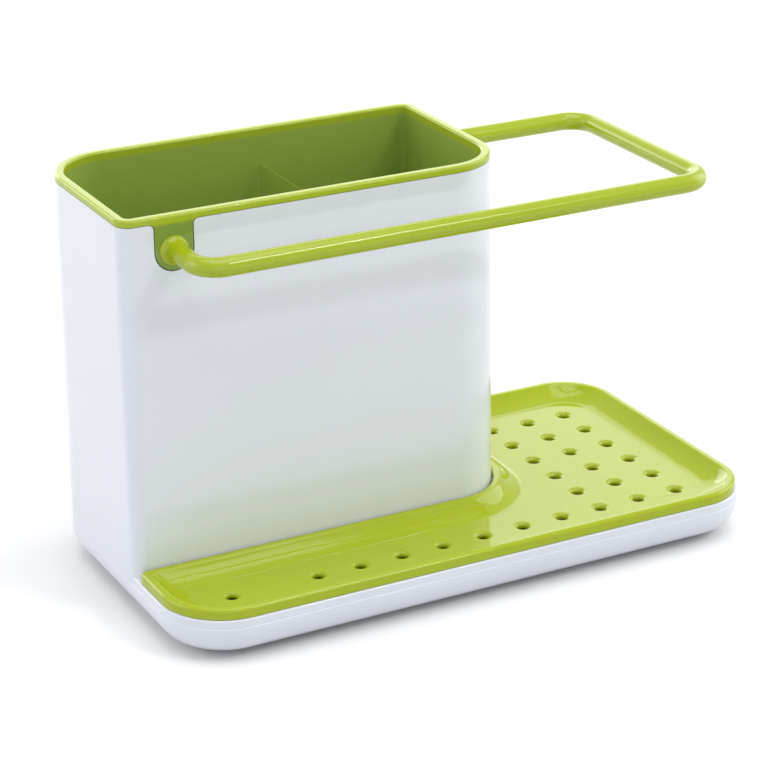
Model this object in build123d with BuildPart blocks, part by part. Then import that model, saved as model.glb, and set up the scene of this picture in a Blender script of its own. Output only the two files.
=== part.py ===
from build123d import *
from math import cos, radians, sin
import os

# A sink-side caddy: a white one-piece base and tower, a green lift-out bin that hangs in the
# tower and carries a cloth rail, a loose divider in that bin, and a green drip tray that lies
# on the base. Lengths are in millimetres. The origin is on the table under the middle of the
# base, with +X to the right along the front, +Y to the back and +Z up.

# Overall size
base_length = 208.0
base_width = 110.8
total_height = 132.0

# White base and tower
foot_stand = 1.5
body_wall = 1.7
floor_thickness = 2.2
pan_top = 14.9
pan_bottom_radius = 9.4
pan_top_radius = 0.5
pan_band_height = 2.8
pan_band_inset = 0.25
pan_shoulder_radius = 0.2
pan_left_radius = 22.0
pan_right_radius = 19.4
tower_corner_radius = 20.2
small_corner_radius = 5.0
least_corner_radius = 1.0
end_strip_width = 73.5
front_strip_width = 40.5
tower_foot_spread = 1.4
tower_ledge = 0.9

# Green bin
seat_gap = 0.2
bin_rim_height = 2.1
bin_rim_radius = 0.8
bin_clearance = 0.25
bin_wall = 1.2
bin_floor = 1.8
bin_bottom = 16.0
bin_draw_in = 0.8
bin_drain_diameter = 5.0
bin_drain_spacing = 16.0
bin_drain_row_count = 3
bin_left_drain_count = 3
bin_right_drain_count = 2

# Tabs that reach down from the bin's rim through notches in the tower
tab_width = 12.4
tab_gap = 0.35
notch_corner_radius = 1.6
front_tab_from_left = 17.2
side_tab_from_back = 13.6

# Cloth rail
rail_diameter = 6.2
rail_below_rim = 11.2
rail_front_reach = 20.2
rail_side_reach = 60.7
rail_elbow_radius = 7.8
rail_corner_radius = 8.8
rail_flare_diameter = 9.4
rail_flare_length = 3.2
rail_flare_lip = 0.2
spigot_diameter = 5.0
spigot_length = 2.0
spigot_clearance = 0.1

# Divider and the ribs that hold it
divider_thickness = 1.5
divider_below_rim = 11.7
divider_from_left = 76.7
divider_side_gap = 1.0
divider_clearance = 0.3
divider_corner_radius = 1.5
divider_edge_radius = 0.6
rib_width = 1.6
rib_reach = 3.0
rib_below_divider = 25.0

# Drip tray
tray_seat_gap = 0.2
tray_inset = 0.8
tray_rim_top = 18.5
tray_rim_width = 2.6
tray_rim_radius = 1.2
tray_lip_radius = 1.2
tray_floor = 13.9
tray_thickness = 1.8
tray_foot_angle = 6
tray_lip_angle = 54
slope_step_count = 4
tray_tower_gap = 0.35
tray_end_radius = 2.2
pan_end_radius = 4.5
tray_pan_clearance = 0.4
drain_diameter = 3.6
drain_mouth_diameter = 5.4
drain_mouth_angle = 90
drain_spacing_x = 14.88
drain_spacing_y = 14.22
drain_from_right = 21.37
drain_from_front = 18.6
drain_margin = 20.0
drain_block_count = 3

# Feet
foot_diameter = 12.0
foot_recess = 1.0
foot_clearance = 0.2
foot_inset = 20.0
foot_edge = 0.5

# One overrun for all cuts
overrun = 1.0

# Places that follow from the sizes
left = -base_length / 2
right = base_length / 2
front = -base_width / 2
back = base_width / 2
pan_floor = foot_stand + floor_thickness
tower_right = right - end_strip_width
tower_front = front + front_strip_width
rim_bottom = total_height - bin_rim_height
rail_height = total_height - rail_below_rim
divider_top = total_height - divider_below_rim
tower_top = rim_bottom - seat_gap
tower_root = foot_stand + pan_bottom_radius
bin_inset = body_wall + bin_clearance
bin_inner_inset = bin_inset + bin_wall
divider_x = left + divider_from_left
tray_seat = pan_top + tray_seat_gap
front_tab = Plane(
    origin=(left + front_tab_from_left, tower_front, rail_height), x_dir=(1, 0, 0), z_dir=(0, -1, 0)
)
side_tab = Plane(
    origin=(tower_right, back - side_tab_from_back, rail_height), x_dir=(0, 1, 0), z_dir=(1, 0, 0)
)


def corner(outline, x_end, y_end):
    """The outline's vertex nearest to a place."""
    return outline.vertices().sort_by(lambda v: abs(v.X - x_end) + abs(v.Y - y_end))[0]


def pan_outline(level, inset):
    """The base's outline, moved in by inset."""
    with BuildSketch(Plane.XY.offset(level)) as outline:
        Rectangle(base_length - 2 * inset, base_width - 2 * inset)
        for y_end in (front, back):
            fillet(corner(outline, left, y_end), pan_left_radius - inset)
            fillet(corner(outline, right, y_end), pan_right_radius - inset)
    return outline.sketch


def tower_outline(level, inset, growth=0.0):
    """The tower's outline, moved in by inset, with its front and right side out by growth."""
    x_low = left + inset
    x_high = tower_right - inset + growth
    y_low = tower_front + inset - growth
    y_high = back - inset
    tight = max(small_corner_radius - inset, least_corner_radius)
    with BuildSketch(Plane.XY.offset(level)) as outline:
        with BuildLine():
            Polyline((x_low, y_low), (x_high, y_low), (x_high, y_high), (x_low, y_high), close=True)
        make_face()
        fillet(corner(outline, x_low, y_low), tight)
        fillet(corner(outline, x_high, y_low), tower_corner_radius - inset)
        fillet(corner(outline, x_high, y_high), tight)
        fillet(corner(outline, x_low, y_high), pan_left_radius - inset)
    return outline.sketch


def strip_outline(level, inset, tower_gap, end_radius):
    """The L-shaped space in front of and beside the tower: moved in by inset from the base's
    outline, kept clear of the foot of the tower by tower_gap, and rounded at its two ends."""
    x_tower = tower_right + tower_foot_spread + tower_gap
    y_tower = tower_front - tower_foot_spread - tower_gap
    x_low = left + inset
    x_high = right - inset
    y_low = front + inset
    y_high = back - inset
    with BuildSketch(Plane.XY.offset(level)) as outline:
        with BuildLine():
            Polyline(
                (x_low, y_low),
                (x_high, y_low),
                (x_high, y_high),
                (x_tower, y_high),
                (x_tower, y_tower),
                (x_low, y_tower),
                close=True,
            )
        make_face()
        fillet(corner(outline, x_low, y_low), pan_left_radius - inset)
        fillet(corner(outline, x_high, y_low), pan_right_radius - inset)
        fillet(corner(outline, x_high, y_high), pan_right_radius - inset)
        fillet(corner(outline, x_tower, y_high), end_radius)
        fillet(corner(outline, x_tower, y_tower), tower_corner_radius + tower_gap)
        fillet(corner(outline, x_low, y_tower), end_radius)
    return outline.sketch


def tab_outline(half_width, shoulder_level, shoulder_radius):
    """A tab or its notch, seen from outside: a round end about the rail's root, straight sides,
    and shoulders that flare out where it meets the bin's rim."""
    shoulder = shoulder_level - rail_height
    top = total_height - rail_height
    span = half_width + 2 * shoulder_radius
    with BuildSketch() as outline:
        Circle(half_width)
        with Locations((0, top / 2)):
            Rectangle(2 * half_width, top)
        with Locations((0, (shoulder + top) / 2)):
            Rectangle(2 * span, top - shoulder)
        inner = outline.vertices().sort_by(lambda v: abs(abs(v.X) - half_width) + abs(v.Y - shoulder))
        fillet(inner[0:2], shoulder_radius)
    return outline.sketch


# The hollow of the base, with rounded floor edges that follow its rounded outer edge
with BuildPart() as pan_hollow:
    add(pan_outline(pan_floor, body_wall))
    extrude(amount=total_height)
    fillet(pan_hollow.faces().sort_by(Axis.Z)[0].edges(), pan_bottom_radius - body_wall)

# The well that the bin hangs in, down to the floor of the base
with BuildPart() as well:
    add(tower_outline(pan_floor, body_wall))
    extrude(amount=total_height)
    add(pan_hollow.part, mode=Mode.INTERSECT)

# The reservoir under the tray
with BuildPart() as reservoir:
    add(strip_outline(pan_floor, body_wall, tower_ledge, pan_end_radius - body_wall))
    extrude(amount=pan_top - pan_floor + overrun)
    add(pan_hollow.part, mode=Mode.INTERSECT)

foot_x = base_length / 2 - foot_inset
foot_y = base_width / 2 - foot_inset
foot_places = {
    "foot_front_left": (-foot_x, -foot_y),
    "foot_front_right": (foot_x, -foot_y),
    "foot_back_left": (-foot_x, foot_y),
    "foot_back_right": (foot_x, foot_y),
}

# White base and tower, moulded in one piece, with a band round the top of the base that is set
# back a little behind a rounded shoulder
pan_shoulder = pan_top - pan_band_height
with BuildPart() as outer_body:
    add(pan_outline(foot_stand, 0))
    extrude(amount=pan_shoulder - foot_stand)
    fillet(outer_body.faces().sort_by(Axis.Z)[0].edges(), pan_bottom_radius)
    fillet(outer_body.faces().sort_by(Axis.Z)[-1].edges(), pan_shoulder_radius)
    add(pan_outline(pan_shoulder, pan_band_inset))
    extrude(amount=pan_band_height)
    fillet(outer_body.faces().sort_by(Axis.Z)[-1].edges(), pan_top_radius)
    add(tower_outline(tower_root, 0, tower_foot_spread))
    add(tower_outline(tower_top, 0))
    loft(ruled=True)
    add(well.part, mode=Mode.SUBTRACT)
    add(reservoir.part, mode=Mode.SUBTRACT)
    for tab_plane in (front_tab, side_tab):
        with BuildSketch(tab_plane.offset(tower_foot_spread)):
            add(tab_outline(tab_width / 2 + tab_gap, tower_top, notch_corner_radius))
        extrude(amount=-(tower_foot_spread + body_wall + bin_clearance), mode=Mode.SUBTRACT)
    with BuildSketch(Plane.XY.offset(foot_stand)):
        with Locations(*foot_places.values()):
            Circle(foot_diameter / 2 + foot_clearance)
    extrude(amount=foot_recess, mode=Mode.SUBTRACT)
outer_body.part.label = "outer_body"

# Green bin: a tapered bin hung from a rim that covers the tower's top edge, with a tab in each
# notch for the cloth rail, drain holes in its floor and two pairs of ribs for the divider
rib_step = divider_thickness / 2 + divider_clearance + rib_width / 2
rib_depth = bin_draw_in + rib_reach
rib_front_y = tower_front + bin_inner_inset + rib_depth / 2
rib_back_y = back - bin_inner_inset - rib_depth / 2
rib_top = divider_top - rib_below_divider
left_hole_x = (left + bin_inner_inset + divider_x) / 2
right_hole_x = (divider_x + tower_right - bin_inner_inset) / 2
bin_middle_y = (tower_front + back) / 2
with BuildPart() as utensil_insert:
    add(tower_outline(bin_bottom, bin_inset + bin_draw_in))
    add(tower_outline(rim_bottom, bin_inset))
    loft(ruled=True)
    add(tower_outline(rim_bottom, 0))
    extrude(amount=bin_rim_height)
    for tab_plane in (front_tab, side_tab):
        with BuildSketch(tab_plane):
            add(tab_outline(tab_width / 2, rim_bottom, notch_corner_radius + tab_gap))
        extrude(amount=-bin_inner_inset)
    add(tower_outline(bin_bottom + bin_floor, bin_inner_inset + bin_draw_in))
    add(tower_outline(total_height, bin_inner_inset))
    loft(ruled=True, mode=Mode.SUBTRACT)
    rim_top = utensil_insert.faces().sort_by(Axis.Z)[-1]
    fillet(rim_top.edges(), bin_rim_radius)
    with BuildSketch(Plane.XY.offset(bin_bottom + bin_floor)):
        with Locations((divider_x, rib_front_y), (divider_x, rib_back_y)):
            with GridLocations(2 * rib_step, 0, 2, 1):
                Rectangle(rib_width, rib_depth)
    extrude(amount=rib_top - bin_bottom - bin_floor)
    with BuildSketch(Plane.XY.offset(bin_bottom)):
        for hole_x, count in ((left_hole_x, bin_left_drain_count), (right_hole_x, bin_right_drain_count)):
            with Locations((hole_x, bin_middle_y)):
                with GridLocations(bin_drain_spacing, bin_drain_spacing, count, bin_drain_row_count):
                    Circle(bin_drain_diameter / 2)
    extrude(amount=bin_floor, mode=Mode.SUBTRACT)
    for tab_plane in (front_tab, side_tab):
        with BuildSketch(tab_plane):
            Circle(spigot_diameter / 2 + spigot_clearance)
        extrude(amount=-(spigot_length + spigot_clearance), mode=Mode.SUBTRACT)
utensil_insert.part.label = "utensil_insert"


def bin_inside(level):
    """How far the bin's inner wall stands in from the tower's outline at a level."""
    share = (total_height - level) / (total_height - bin_bottom - bin_floor)
    return bin_inner_inset + bin_draw_in * share


# Divider: a tapered plate that slides down between the ribs
divider_bottom = bin_bottom + bin_floor + seat_gap
inset_low = bin_inside(divider_bottom) + divider_side_gap
inset_high = bin_inside(divider_top) + divider_side_gap
with BuildPart() as divider:
    with BuildSketch(Plane.YZ.offset(divider_x)) as plate:
        with BuildLine():
            Polyline(
                (tower_front + inset_low, divider_bottom),
                (back - inset_low, divider_bottom),
                (back - inset_high, divider_top),
                (tower_front + inset_high, divider_top),
                close=True,
            )
        make_face()
        fillet(plate.vertices(), divider_corner_radius)
    extrude(amount=divider_thickness / 2, both=True)
    fillet(divider.faces().sort_by(Axis.Z)[-1].edges().filter_by(Axis.Y), divider_edge_radius)
divider.part.label = "divider"

# Cloth rail: one bent bar that leaves the front tab straight ahead, runs along the front, turns
# round the right end and comes back to the side tab, with a flared foot and a spigot at each root
rail_radius = rail_diameter / 2
flare_radius = rail_flare_diameter / 2
flare_top = rail_flare_lip + rail_flare_length
quarter_turn = 90
rail_front_y = tower_front - rail_front_reach
rail_end_x = tower_right + rail_side_reach
with BuildPart() as cloth_rail:
    with BuildLine():
        FilletPolyline(
            front_tab.origin,
            (front_tab.origin.X, rail_front_y, rail_height),
            (rail_end_x, rail_front_y, rail_height),
            (rail_end_x, side_tab.origin.Y, rail_height),
            side_tab.origin,
            radius=(rail_elbow_radius, rail_corner_radius, rail_corner_radius),
        )
    with BuildSketch(front_tab):
        Circle(rail_radius)
    sweep()
    for tab_plane in (front_tab, side_tab):
        with BuildSketch(Plane(origin=tab_plane.origin, x_dir=tab_plane.x_dir, z_dir=(0, 0, -1))):
            with BuildLine():
                Polyline((0, flare_top), (0, 0), (flare_radius, 0), (flare_radius, rail_flare_lip))
                EllipticalCenterArc(
                    (flare_radius, flare_top),
                    flare_radius - rail_radius,
                    rail_flare_length,
                    start_angle=2 * quarter_turn,
                    arc_size=quarter_turn,
                )
                Line((rail_radius, flare_top), (0, flare_top))
            make_face()
        revolve(axis=Axis(tab_plane.origin, tab_plane.z_dir))
        with BuildSketch(tab_plane):
            Circle(spigot_diameter / 2)
        extrude(amount=-spigot_length)
cloth_rail.part.label = "cloth_rail"

# Drip tray: a lip that rests on the base's edge all round, a dish that curves down from it on
# every side, and drain holes with countersunk mouths in its flat floor
dish_inset = body_wall + tray_pan_clearance
dish_tower_gap = tower_ledge + tray_pan_clearance
lip_inset = tray_inset + tray_rim_width
lip_tower_gap = tray_tower_gap + tray_rim_width
foot_angle = radians(tray_foot_angle)
lip_angle = radians(tray_lip_angle)
slope_radius = (tray_rim_top - tray_floor) / (cos(foot_angle) - cos(lip_angle))
slope_run = slope_radius * (sin(lip_angle) - sin(foot_angle))
floor_inset = lip_inset + slope_run
floor_tower_gap = lip_tower_gap + slope_run
drain_run = base_length - drain_from_right - drain_margin
drain_count = int(drain_run / drain_spacing_x) + 1
drain_row_count = int((base_width - drain_from_front - drain_margin) / drain_spacing_y) + 1
bare_place = drain_count - 2
drain_places = []
for column in range(drain_count):
    rows = drain_row_count if column < drain_block_count else 1
    for row in range(rows):
        if column != bare_place:
            hole_x = right - drain_from_right - column * drain_spacing_x
            hole_y = front + drain_from_front + row * drain_spacing_y
            drain_places.append((hole_x, hole_y, tray_floor))
with BuildPart() as drip_tray:
    add(strip_outline(tray_seat, tray_inset, tray_tower_gap, tray_end_radius))
    extrude(amount=tray_rim_top - tray_seat)
    add(strip_outline(tray_floor - tray_thickness, floor_inset, floor_tower_gap, tray_end_radius))
    add(strip_outline(tray_seat, dish_inset, dish_tower_gap, tray_end_radius))
    loft(ruled=True)
    fillet(drip_tray.faces().sort_by(Axis.Z)[-1].edges(), tray_rim_radius)
    for step in range(slope_step_count + 1):
        angle = foot_angle + (lip_angle - foot_angle) * step / slope_step_count
        run = slope_radius * (sin(lip_angle) - sin(angle))
        level = tray_floor + slope_radius * (cos(foot_angle) - cos(angle))
        add(strip_outline(level, lip_inset + run, lip_tower_gap + run, tray_end_radius))
    loft(mode=Mode.SUBTRACT)
    lip_top = drip_tray.faces().filter_by(Plane.XY).sort_by(Axis.Z)[-1]
    fillet(lip_top.inner_wires()[0].edges(), tray_lip_radius)
    with Locations(*drain_places):
        CounterSinkHole(
            drain_diameter / 2, drain_mouth_diameter / 2, tray_thickness + overrun, drain_mouth_angle
        )
drip_tray.part.label = "drip_tray"

# Rubber feet, each pressed into a shallow recess under the base
feet = []
for name, (x, y) in foot_places.items():
    with BuildPart() as foot:
        with BuildSketch():
            with Locations((x, y)):
                Circle(foot_diameter / 2)
        extrude(amount=foot_stand + foot_recess)
        chamfer(foot.edges().sort_by(Axis.Z)[0], foot_edge)
    foot.part.label = name
    feet.append(foot.part)

os.makedirs("parts", exist_ok=True)
for piece in (outer_body.part, utensil_insert.part, divider.part, cloth_rail.part, drip_tray.part, *feet):
    export_step(piece, f"parts/{piece.label}.step")
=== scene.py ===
import math

import bmesh
import bpy
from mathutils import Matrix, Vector


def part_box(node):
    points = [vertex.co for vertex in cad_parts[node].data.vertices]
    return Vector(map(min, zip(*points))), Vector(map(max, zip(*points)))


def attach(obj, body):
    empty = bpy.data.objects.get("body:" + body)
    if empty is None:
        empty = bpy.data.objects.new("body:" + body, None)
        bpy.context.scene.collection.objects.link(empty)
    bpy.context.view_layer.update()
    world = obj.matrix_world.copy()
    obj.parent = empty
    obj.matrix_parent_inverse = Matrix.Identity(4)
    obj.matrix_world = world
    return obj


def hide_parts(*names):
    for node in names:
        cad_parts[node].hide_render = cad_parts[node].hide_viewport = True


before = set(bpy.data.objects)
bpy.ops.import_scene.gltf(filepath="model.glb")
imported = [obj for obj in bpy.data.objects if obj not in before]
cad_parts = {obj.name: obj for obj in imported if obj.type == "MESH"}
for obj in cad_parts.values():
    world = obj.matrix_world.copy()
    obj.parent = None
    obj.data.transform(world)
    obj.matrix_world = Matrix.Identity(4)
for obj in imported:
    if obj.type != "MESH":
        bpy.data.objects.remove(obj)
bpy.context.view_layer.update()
bpy.ops.object.select_all(action="DESELECT")

# The base and tower are one injection moulding in glossy white ABS, open at the top. Its skin has
# the faint unevenness of moulded plastic: slow clouding, changes of gloss and an orange peel.
WHITE_COLOUR = (0.72, 0.75, 0.82, 1)
WHITE_ROUGHNESS = 0.06
WHITE_SPECULAR = 0.5
WHITE_CLOUDING = 0.03
MOULD_RIPPLE = 0.05
PLASTIC_IOR = 1.53
CLOUD_SCALE = 35
CLOUD_DETAIL = 3
GLOSS_SCALE = 160
GLOSS_DETAIL = 4
GLOSS_SPREAD = 0.04
PEEL_SCALE = 90
PEEL_DETAIL = 2
PEEL_HEIGHT = 0.0002


def feed(tree, socket, value):
    """Sets a socket to a plain value, or links it where the value is another node's output."""
    if isinstance(value, bpy.types.NodeSocket):
        tree.links.new(value, socket)
    else:
        socket.default_value = value


def worked_out(tree, operation, *values):
    """The result of a Math node on plain numbers or other nodes' outputs."""
    node = tree.nodes.new("ShaderNodeMath")
    node.operation = operation
    for socket, value in zip(node.inputs, values):
        feed(tree, socket, value)
    return node.outputs[0]


def skin_noise(tree, place, scale, detail):
    """Noise of one scale, fixed to the piece it is on."""
    noise = tree.nodes.new("ShaderNodeTexNoise")
    noise.inputs["Scale"].default_value = scale
    noise.inputs["Detail"].default_value = detail
    tree.links.new(place.outputs["Object"], noise.inputs["Vector"])
    return noise.outputs["Fac"]


def moulded_skin():
    """The group that gives every moulded piece its clouding, gloss changes and ripple."""
    group = bpy.data.node_groups.new("moulded_skin", "ShaderNodeTree")
    sockets = (
        ("INPUT", "Colour", "NodeSocketColor"),
        ("INPUT", "Clouding", "NodeSocketFloat"),
        ("INPUT", "Roughness", "NodeSocketFloat"),
        ("INPUT", "Ripple", "NodeSocketFloat"),
        ("OUTPUT", "Colour", "NodeSocketColor"),
        ("OUTPUT", "Roughness", "NodeSocketFloat"),
        ("OUTPUT", "Normal", "NodeSocketVector"),
    )
    for way, name, kind in sockets:
        group.interface.new_socket(name=name, in_out=way, socket_type=kind)
    given = group.nodes.new("NodeGroupInput")
    result = group.nodes.new("NodeGroupOutput")
    place = group.nodes.new("ShaderNodeTexCoord")
    shade = group.nodes.new("ShaderNodeMapRange")
    feed(group, shade.inputs["Value"], skin_noise(group, place, CLOUD_SCALE, CLOUD_DETAIL))
    feed(group, shade.inputs["To Min"], 1)
    feed(group, shade.inputs["To Max"], worked_out(group, "SUBTRACT", 1, given.outputs["Clouding"]))
    tone = group.nodes.new("ShaderNodeVectorMath")
    tone.operation = "SCALE"
    feed(group, tone.inputs[0], given.outputs["Colour"])
    feed(group, tone.inputs["Scale"], shade.outputs["Result"])
    feed(group, result.inputs["Colour"], tone.outputs[0])
    gloss_noise = skin_noise(group, place, GLOSS_SCALE, GLOSS_DETAIL)
    roughness = worked_out(group, "MULTIPLY_ADD", gloss_noise, GLOSS_SPREAD, given.outputs["Roughness"])
    feed(group, result.inputs["Roughness"], roughness)
    bump = group.nodes.new("ShaderNodeBump")
    feed(group, bump.inputs["Distance"], PEEL_HEIGHT)
    feed(group, bump.inputs["Strength"], given.outputs["Ripple"])
    feed(group, bump.inputs["Height"], skin_noise(group, place, PEEL_SCALE, PEEL_DETAIL))
    feed(group, result.inputs["Normal"], bump.outputs["Normal"])
    return group


moulded = moulded_skin()


def plastic(name, colour, roughness, specular, clouding, ripple):
    """A moulded plastic with its own colour, roughness, reflection, clouding and ripple."""
    material = bpy.data.materials.new(name)
    material.use_nodes = True
    tree = material.node_tree
    shader = tree.nodes["Principled BSDF"]
    skin = tree.nodes.new("ShaderNodeGroup")
    skin.name = "skin"
    skin.node_tree = moulded
    skin.inputs["Colour"].default_value = colour
    skin.inputs["Clouding"].default_value = clouding
    skin.inputs["Roughness"].default_value = roughness
    skin.inputs["Ripple"].default_value = ripple
    tree.links.new(skin.outputs["Colour"], shader.inputs["Base Color"])
    tree.links.new(skin.outputs["Roughness"], shader.inputs["Roughness"])
    tree.links.new(skin.outputs["Normal"], shader.inputs["Normal"])
    shader.inputs["IOR"].default_value = PLASTIC_IOR
    shader.inputs["Specular IOR Level"].default_value = specular
    return material


def finish_node(name, material):
    """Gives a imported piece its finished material."""
    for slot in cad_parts[name].material_slots:
        slot.material = material


white_plastic = plastic(
    "white_plastic_gloss", WHITE_COLOUR, WHITE_ROUGHNESS, WHITE_SPECULAR, WHITE_CLOUDING, MOULD_RIPPLE
)
finish_node("outer_body", white_plastic)

# Four rubber feet are pressed into recesses under the base. They are matt and grey, with the
# dusty bloom of moulded rubber.
RUBBER_COLOUR = (0.26, 0.27, 0.28, 1)
RUBBER_ROUGHNESS = 0.7
RUBBER_SPECULAR = 0.3
RUBBER_BLOOM = 0.1
RUBBER_RIPPLE = 0.3

foot_rubber = plastic(
    "foot_rubber_matt", RUBBER_COLOUR, RUBBER_ROUGHNESS, RUBBER_SPECULAR, RUBBER_BLOOM, RUBBER_RIPPLE
)
for end in ("front", "back"):
    for side in ("left", "right"):
        finish_node(f"foot_{end}_{side}", foot_rubber)

# The bin hangs by its rolled rim in the tower. It is one moulding in glossy green polypropylene.
# Its thin rim is painted a lighter, yellower green as a painted glow of light through it, and
# the two thick tabs that carry the cloth rail are painted deeper green as painted shade.
BIN_GREEN = (0.315, 0.425, 0.078, 1)
# Painted shade: a darker green on the two tabs, for the shade under the rim and the rail.
TAB_PAINTED_SHADE_GREEN = (0.22, 0.32, 0.05, 1)
TAB_PAINTED_SHADE_REACH = 0.002
# Painted glow: a lighter, yellower green on the rim's top band, for light coming through it.
RIM_PAINTED_GLOW_GREEN = (0.38, 0.472, 0.025, 1)
RIM_HEIGHT = 0.0021
RIM_PAINTED_GLOW_DEPTH = 0.0012
BIN_SPECULAR = 0.29
GREEN_ROUGHNESS = 0.06
GREEN_CLOUDING = 0.06


def colour_mix(tree, first, second, share):
    """The first colour where the share is nought, and the second where it is one."""
    node = tree.nodes.new("ShaderNodeMix")
    node.data_type = "RGBA"
    feed(tree, node.inputs["A"], first)
    feed(tree, node.inputs["B"], second)
    feed(tree, node.inputs["Factor"], share)
    return node.outputs["Result"]


def soft_step(tree, value, low, high):
    """Nought up to the low value, one from the high value on, and smooth between."""
    node = tree.nodes.new("ShaderNodeMapRange")
    node.interpolation_type = "SMOOTHSTEP"
    feed(tree, node.inputs["Value"], value)
    feed(tree, node.inputs["From Min"], low)
    feed(tree, node.inputs["From Max"], high)
    return node.outputs["Result"]


bin_plastic = plastic(
    "bin_plastic_gloss", BIN_GREEN, GREEN_ROUGHNESS, BIN_SPECULAR, GREEN_CLOUDING, MOULD_RIPPLE
)
bin_tree = bin_plastic.node_tree
bin_low, bin_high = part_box("utensil_insert")
rim_foot = bin_high[2] - RIM_HEIGHT
bin_place = bin_tree.nodes.new("ShaderNodeTexCoord")
bin_spot = bin_tree.nodes.new("ShaderNodeSeparateXYZ")
bin_tree.links.new(bin_place.outputs["Object"], bin_spot.inputs["Vector"])
# Painted shade: the two tabs, found beside the bin's front and right outer walls, get the darker green.
before_wall = worked_out(bin_tree, "LESS_THAN", bin_spot.outputs["Y"], bin_low[1] + TAB_PAINTED_SHADE_REACH)
beside_wall = worked_out(bin_tree, "GREATER_THAN", bin_spot.outputs["X"], bin_high[0] - TAB_PAINTED_SHADE_REACH)
painted_tab_shade_mask = worked_out(bin_tree, "MAXIMUM", before_wall, beside_wall)
wall_tone_with_painted_tab_shade = colour_mix(bin_tree, BIN_GREEN, TAB_PAINTED_SHADE_GREEN, painted_tab_shade_mask)
# Painted glow: the green turns lighter and yellower up into the rim.
rim_painted_glow = soft_step(bin_tree, bin_spot.outputs["Z"], rim_foot - RIM_PAINTED_GLOW_DEPTH, rim_foot)
bin_tone_with_painted_light = colour_mix(bin_tree, wall_tone_with_painted_tab_shade, RIM_PAINTED_GLOW_GREEN, rim_painted_glow)
bin_tree.links.new(bin_tone_with_painted_light, bin_tree.nodes["skin"].inputs["Colour"])
finish_node("utensil_insert", bin_plastic)

# The divider is a plain plate of clear tinted plastic, so that it hardly shows in the bin. It
# stands between two pairs of ribs, and its sides draw in towards a thin rounded top edge.
DIVIDER_TINT = (0.36, 0.46, 0.08, 1)
DIVIDER_ALPHA = 0.25
DIVIDER_TOP_SHARE = 0.45
DIVIDER_TOP_BAND = 0.003
GREEN_SPECULAR = 0.36
MERGE_REACH = 0.000002
FLAT_WITHIN = 0.2
CREASE_FROM = 35


def merged_copy(node, name):
    """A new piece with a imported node's mesh, its loose triangles joined into one skin."""
    piece = bpy.data.objects.new(name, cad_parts[node].data.copy())
    bpy.context.collection.objects.link(piece)
    bpy.ops.object.select_all(action="DESELECT")
    piece.select_set(True)
    bpy.context.view_layer.objects.active = piece
    bpy.ops.mesh.customdata_custom_splitnormals_clear()
    bpy.ops.object.mode_set(mode="EDIT")
    bpy.ops.mesh.select_all(action="SELECT")
    bpy.ops.mesh.remove_doubles(threshold=MERGE_REACH)
    bpy.ops.mesh.dissolve_limited(angle_limit=math.radians(FLAT_WITHIN))
    bpy.ops.object.mode_set(mode="OBJECT")
    return piece


def finish_copy(piece, material):
    """Smooths a piece's rounds, keeps its flats flat and its folds sharp, and gives it its material."""
    bpy.ops.object.shade_smooth_by_angle(angle=math.radians(CREASE_FROM))
    flats = piece.modifiers.new("flats", "WEIGHTED_NORMAL")
    flats.keep_sharp = True
    bpy.ops.object.modifier_apply(modifier=flats.name)
    piece.data.materials.clear()
    piece.data.materials.append(material)


divider_plastic = plastic(
    "divider_plastic_clear", DIVIDER_TINT, GREEN_ROUGHNESS, GREEN_SPECULAR, GREEN_CLOUDING, MOULD_RIPPLE
)
divider_plastic.node_tree.nodes["Principled BSDF"].inputs["Alpha"].default_value = DIVIDER_ALPHA
divider = merged_copy("divider", "divider_plate")
divider_low, divider_high = (Vector(corner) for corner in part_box("divider"))
bpy.ops.object.mode_set(mode="EDIT")
bpy.ops.mesh.select_mode(type="VERT")
bpy.ops.mesh.select_all(action="DESELECT")
shape = bmesh.from_edit_mesh(divider.data)
for corner in shape.verts:
    corner.select = corner.co.z > divider_high.z - DIVIDER_TOP_BAND
shape.select_flush_mode()
bmesh.update_edit_mesh(divider.data)
bpy.ops.transform.resize(
    value=(DIVIDER_TOP_SHARE, 1, 1),
    center_override=(divider_low + divider_high) / 2,
)
bpy.ops.object.mode_set(mode="OBJECT")
finish_copy(divider, divider_plastic)
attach(divider, "divider")
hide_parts("divider")

# The cloth rail is a round bar of green polypropylene, bent to shape and fixed to the bin's two
# tabs. Its skin is a softer satin than that of the moulded pieces, with a broad pale sheen on top.
RAIL_GREEN = (0.36, 0.445, 0.003, 1)
RAIL_ROUGHNESS = 0.17
RAIL_SPECULAR = 0.46

rail_plastic = plastic(
    "rail_plastic_satin", RAIL_GREEN, RAIL_ROUGHNESS, RAIL_SPECULAR, GREEN_CLOUDING, MOULD_RIPPLE
)
finish_node("cloth_rail", rail_plastic)

# The tray is a thin green moulding that lies on the pan's edge, with 26 countersunk drain holes
# in its floor. Polish on the mould has rounded the mouth and the foot of each countersink.
TRAY_GREEN = (0.374, 0.458, 0.004, 1)
TRAY_THICKNESS = 0.0018
COUNTERSINK_DEPTH = 0.0009
COUNTERSINK_FOLD = 45
FOLD_REACH = 5
LEVEL_REACH = 0.00002
MOUTH_ROUNDING = 0.00055
FOOT_ROUNDING = 0.0004
ROUNDING_STEPS = 3
DRAIN_FROM_RIGHT = 0.02137
DRAIN_SPACING = 0.01488
DRAIN_COLUMNS = 12
CUT_REACH = 0.00001

tray_plastic = plastic(
    "tray_plastic_gloss", TRAY_GREEN, GREEN_ROUGHNESS, GREEN_SPECULAR, GREEN_CLOUDING, MOULD_RIPPLE
)
tray = merged_copy("drip_tray", "drip_tray_dish")
tray_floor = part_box("drip_tray")[0][2] + TRAY_THICKNESS
base_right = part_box("outer_body")[1][0]

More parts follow.
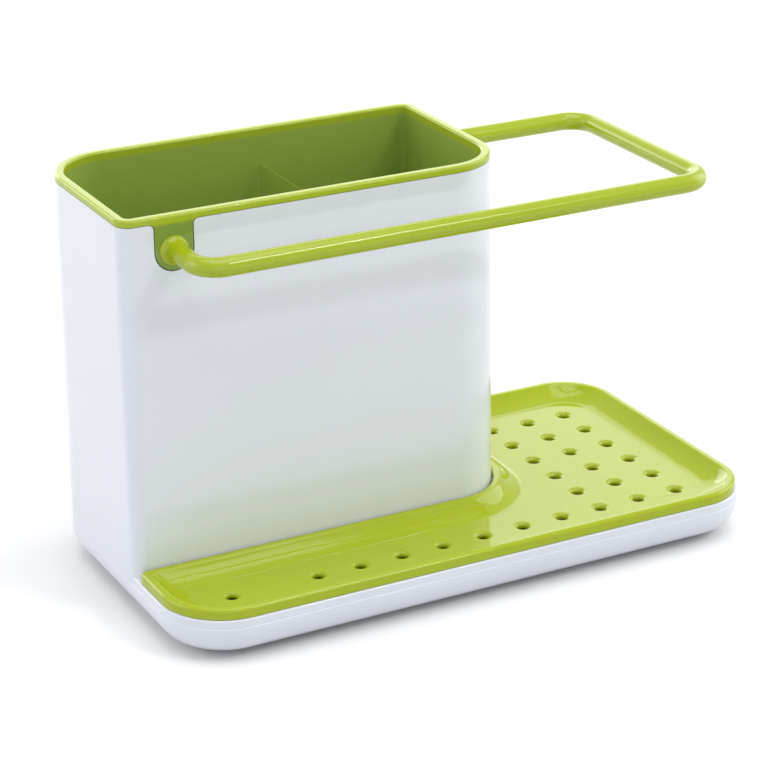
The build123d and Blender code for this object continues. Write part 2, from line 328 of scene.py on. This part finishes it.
# Each column of drains is cut through, so that no face goes right round a drain.
bpy.ops.object.mode_set(mode="EDIT")
for column in range(DRAIN_COLUMNS):
    bpy.ops.mesh.select_all(action="SELECT")
    drain_x = base_right - DRAIN_FROM_RIGHT - column * DRAIN_SPACING
    bpy.ops.mesh.bisect(plane_co=(drain_x, 0, 0), plane_no=(1, 0, 0), threshold=CUT_REACH)
bpy.ops.object.mode_set(mode="OBJECT")
for level, rounding in ((tray_floor, MOUTH_ROUNDING), (tray_floor - COUNTERSINK_DEPTH, FOOT_ROUNDING)):
    bpy.ops.object.mode_set(mode="EDIT")
    bpy.ops.mesh.select_mode(type="EDGE")
    bpy.ops.mesh.select_all(action="DESELECT")
    shape = bmesh.from_edit_mesh(tray.data)
    for edge in shape.edges:
        fold = math.degrees(edge.calc_face_angle())
        at_level = all(abs(corner.co.z - level) < LEVEL_REACH for corner in edge.verts)
        edge.select_set(at_level and abs(fold - COUNTERSINK_FOLD) < FOLD_REACH)
    bmesh.update_edit_mesh(tray.data)
    bpy.ops.mesh.bevel(offset=rounding, segments=ROUNDING_STEPS, profile=0.5, affect="EDGES")
    bpy.ops.object.mode_set(mode="OBJECT")
finish_copy(tray, tray_plastic)
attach(tray, "tray")
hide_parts("drip_tray")

# The table is a plain white top. It takes the object's soft shadow, gives the object a little less
# light from below than a white one would, and turns to the white of the studio farther away.
FLOOR_SIZE = 12
FLOOR_SEEN = (0.87, 0.87, 0.87, 1)
FLOOR_BOUNCE = (0.72, 0.72, 0.72, 1)
FLOOR_ROUGHNESS = 0.9
FLOOR_PLAIN_WITHIN = 0.35
FLOOR_WHITE_BEYOND = 0.85
STUDIO_WHITE = (1, 1, 1, 1)


def white_to_sight(tree):
    """One where the camera, the gloss or a clear piece looks, and nought for soft light."""
    path = tree.nodes.new("ShaderNodeLightPath")
    gloss = worked_out(tree, "MAXIMUM", path.outputs["Is Camera Ray"], path.outputs["Is Glossy Ray"])
    return worked_out(tree, "MAXIMUM", gloss, path.outputs["Is Transmission Ray"])


bpy.ops.mesh.primitive_plane_add(size=FLOOR_SIZE, location=(0, 0, 0))
floor = bpy.context.object
floor.name = "floor"
floor_material = bpy.data.materials.new("floor_white")
floor_material.use_nodes = True
floor_tree = floor_material.node_tree
floor_sight = white_to_sight(floor_tree)
floor_place = floor_tree.nodes.new("ShaderNodeTexCoord")
floor_reach = floor_tree.nodes.new("ShaderNodeVectorMath")
floor_reach.operation = "LENGTH"
floor_tree.links.new(floor_place.outputs["Object"], floor_reach.inputs[0])
far_off = soft_step(floor_tree, floor_reach.outputs["Value"], FLOOR_PLAIN_WITHIN, FLOOR_WHITE_BEYOND)
floor_glow = worked_out(floor_tree, "MULTIPLY", far_off, floor_sight)
floor_tone = colour_mix(floor_tree, FLOOR_BOUNCE, FLOOR_SEEN, floor_sight)
floor_shader = floor_tree.nodes["Principled BSDF"]
floor_tree.links.new(floor_tone, floor_shader.inputs["Base Color"])
floor_tree.links.new(floor_glow, floor_shader.inputs["Emission Strength"])
floor_shader.inputs["Emission Color"].default_value = STUDIO_WHITE
floor_shader.inputs["Roughness"].default_value = FLOOR_ROUGHNESS
floor_shader.inputs["Specular IOR Level"].default_value = 0
floor.data.materials.append(floor_material)

# The studio is a white tent: an even fill, and a white that the camera and the gloss see. Six
# broad panels and a narrow strip light the caddy, each aimed a little below its middle.
TENT_FILL = 0.47
LAMP_AIM = Vector((0, 0, 0.05))

world = bpy.data.worlds.new("studio")
bpy.context.scene.world = world
world.use_nodes = True
tent = world.node_tree.nodes["Background"]
tent.inputs["Color"].default_value = STUDIO_WHITE
tent_strength = world.node_tree.nodes.new("ShaderNodeMapRange")
tent_strength.inputs["To Min"].default_value = TENT_FILL
tent_strength.inputs["To Max"].default_value = 1
world.node_tree.links.new(white_to_sight(world.node_tree), tent_strength.inputs["Value"])
world.node_tree.links.new(tent_strength.outputs["Result"], tent.inputs["Strength"])


def softbox(name, around, up, away, size, power):
    """A flat lamp: degrees around from the back by the right, degrees up, metres away, watts."""
    turn, rise = math.radians(around), math.radians(up)
    way = Vector((math.sin(turn) * math.cos(rise), math.cos(turn) * math.cos(rise), math.sin(rise)))
    bpy.ops.object.light_add(type="AREA", location=LAMP_AIM + away * way)
    lamp = bpy.context.object
    lamp.name = name
    lamp.data.shape = "RECTANGLE"
    lamp.data.size, lamp.data.size_y = size
    lamp.data.energy = power
    lamp.rotation_mode = "QUATERNION"
    lamp.rotation_quaternion = (-way).to_track_quat("-Z", "Y")
    lamp.visible_camera = False


softbox("back_panel", around=345, up=14, away=1.8, size=(1.8, 0.8), power=14)
softbox("back_right_panel", around=25, up=22, away=1.8, size=(1.1, 1.0), power=4.6)
softbox("right_panel", around=95, up=25, away=1.8, size=(1.4, 1.3), power=12.5)
softbox("left_panel", around=285, up=20, away=1.8, size=(1.2, 1.0), power=7.6)
softbox("overhead_panel", around=180, up=82, away=1.6, size=(1.4, 1.4), power=14)
softbox("rail_strip", around=149, up=44, away=1.5, size=(0.3, 0.09), power=3.2)
softbox("front_panel", around=195, up=14, away=1.8, size=(1.4, 0.7), power=2.8)

# The camera stands where the photograph was taken from, in front of the caddy to the left and
# about 0.38 m above the table, with its long lens.
CAMERA_PLACE = (-0.3776, -0.6938, 0.3846)
CAMERA_TURNS = (67.343, 0.123, -28.081)
CAMERA_LENS = 122.8
SENSOR_WIDTH = 36
NEAREST_SEEN = 0.01

bpy.ops.object.camera_add(location=CAMERA_PLACE, rotation=[math.radians(turn) for turn in CAMERA_TURNS])
camera = bpy.context.object
camera.name = "camera"
camera.data.lens = CAMERA_LENS
camera.data.sensor_width = SENSOR_WIDTH
camera.data.clip_start = NEAREST_SEEN
bpy.context.scene.camera = camera
bpy.context.scene.view_settings.view_transform = "Standard"
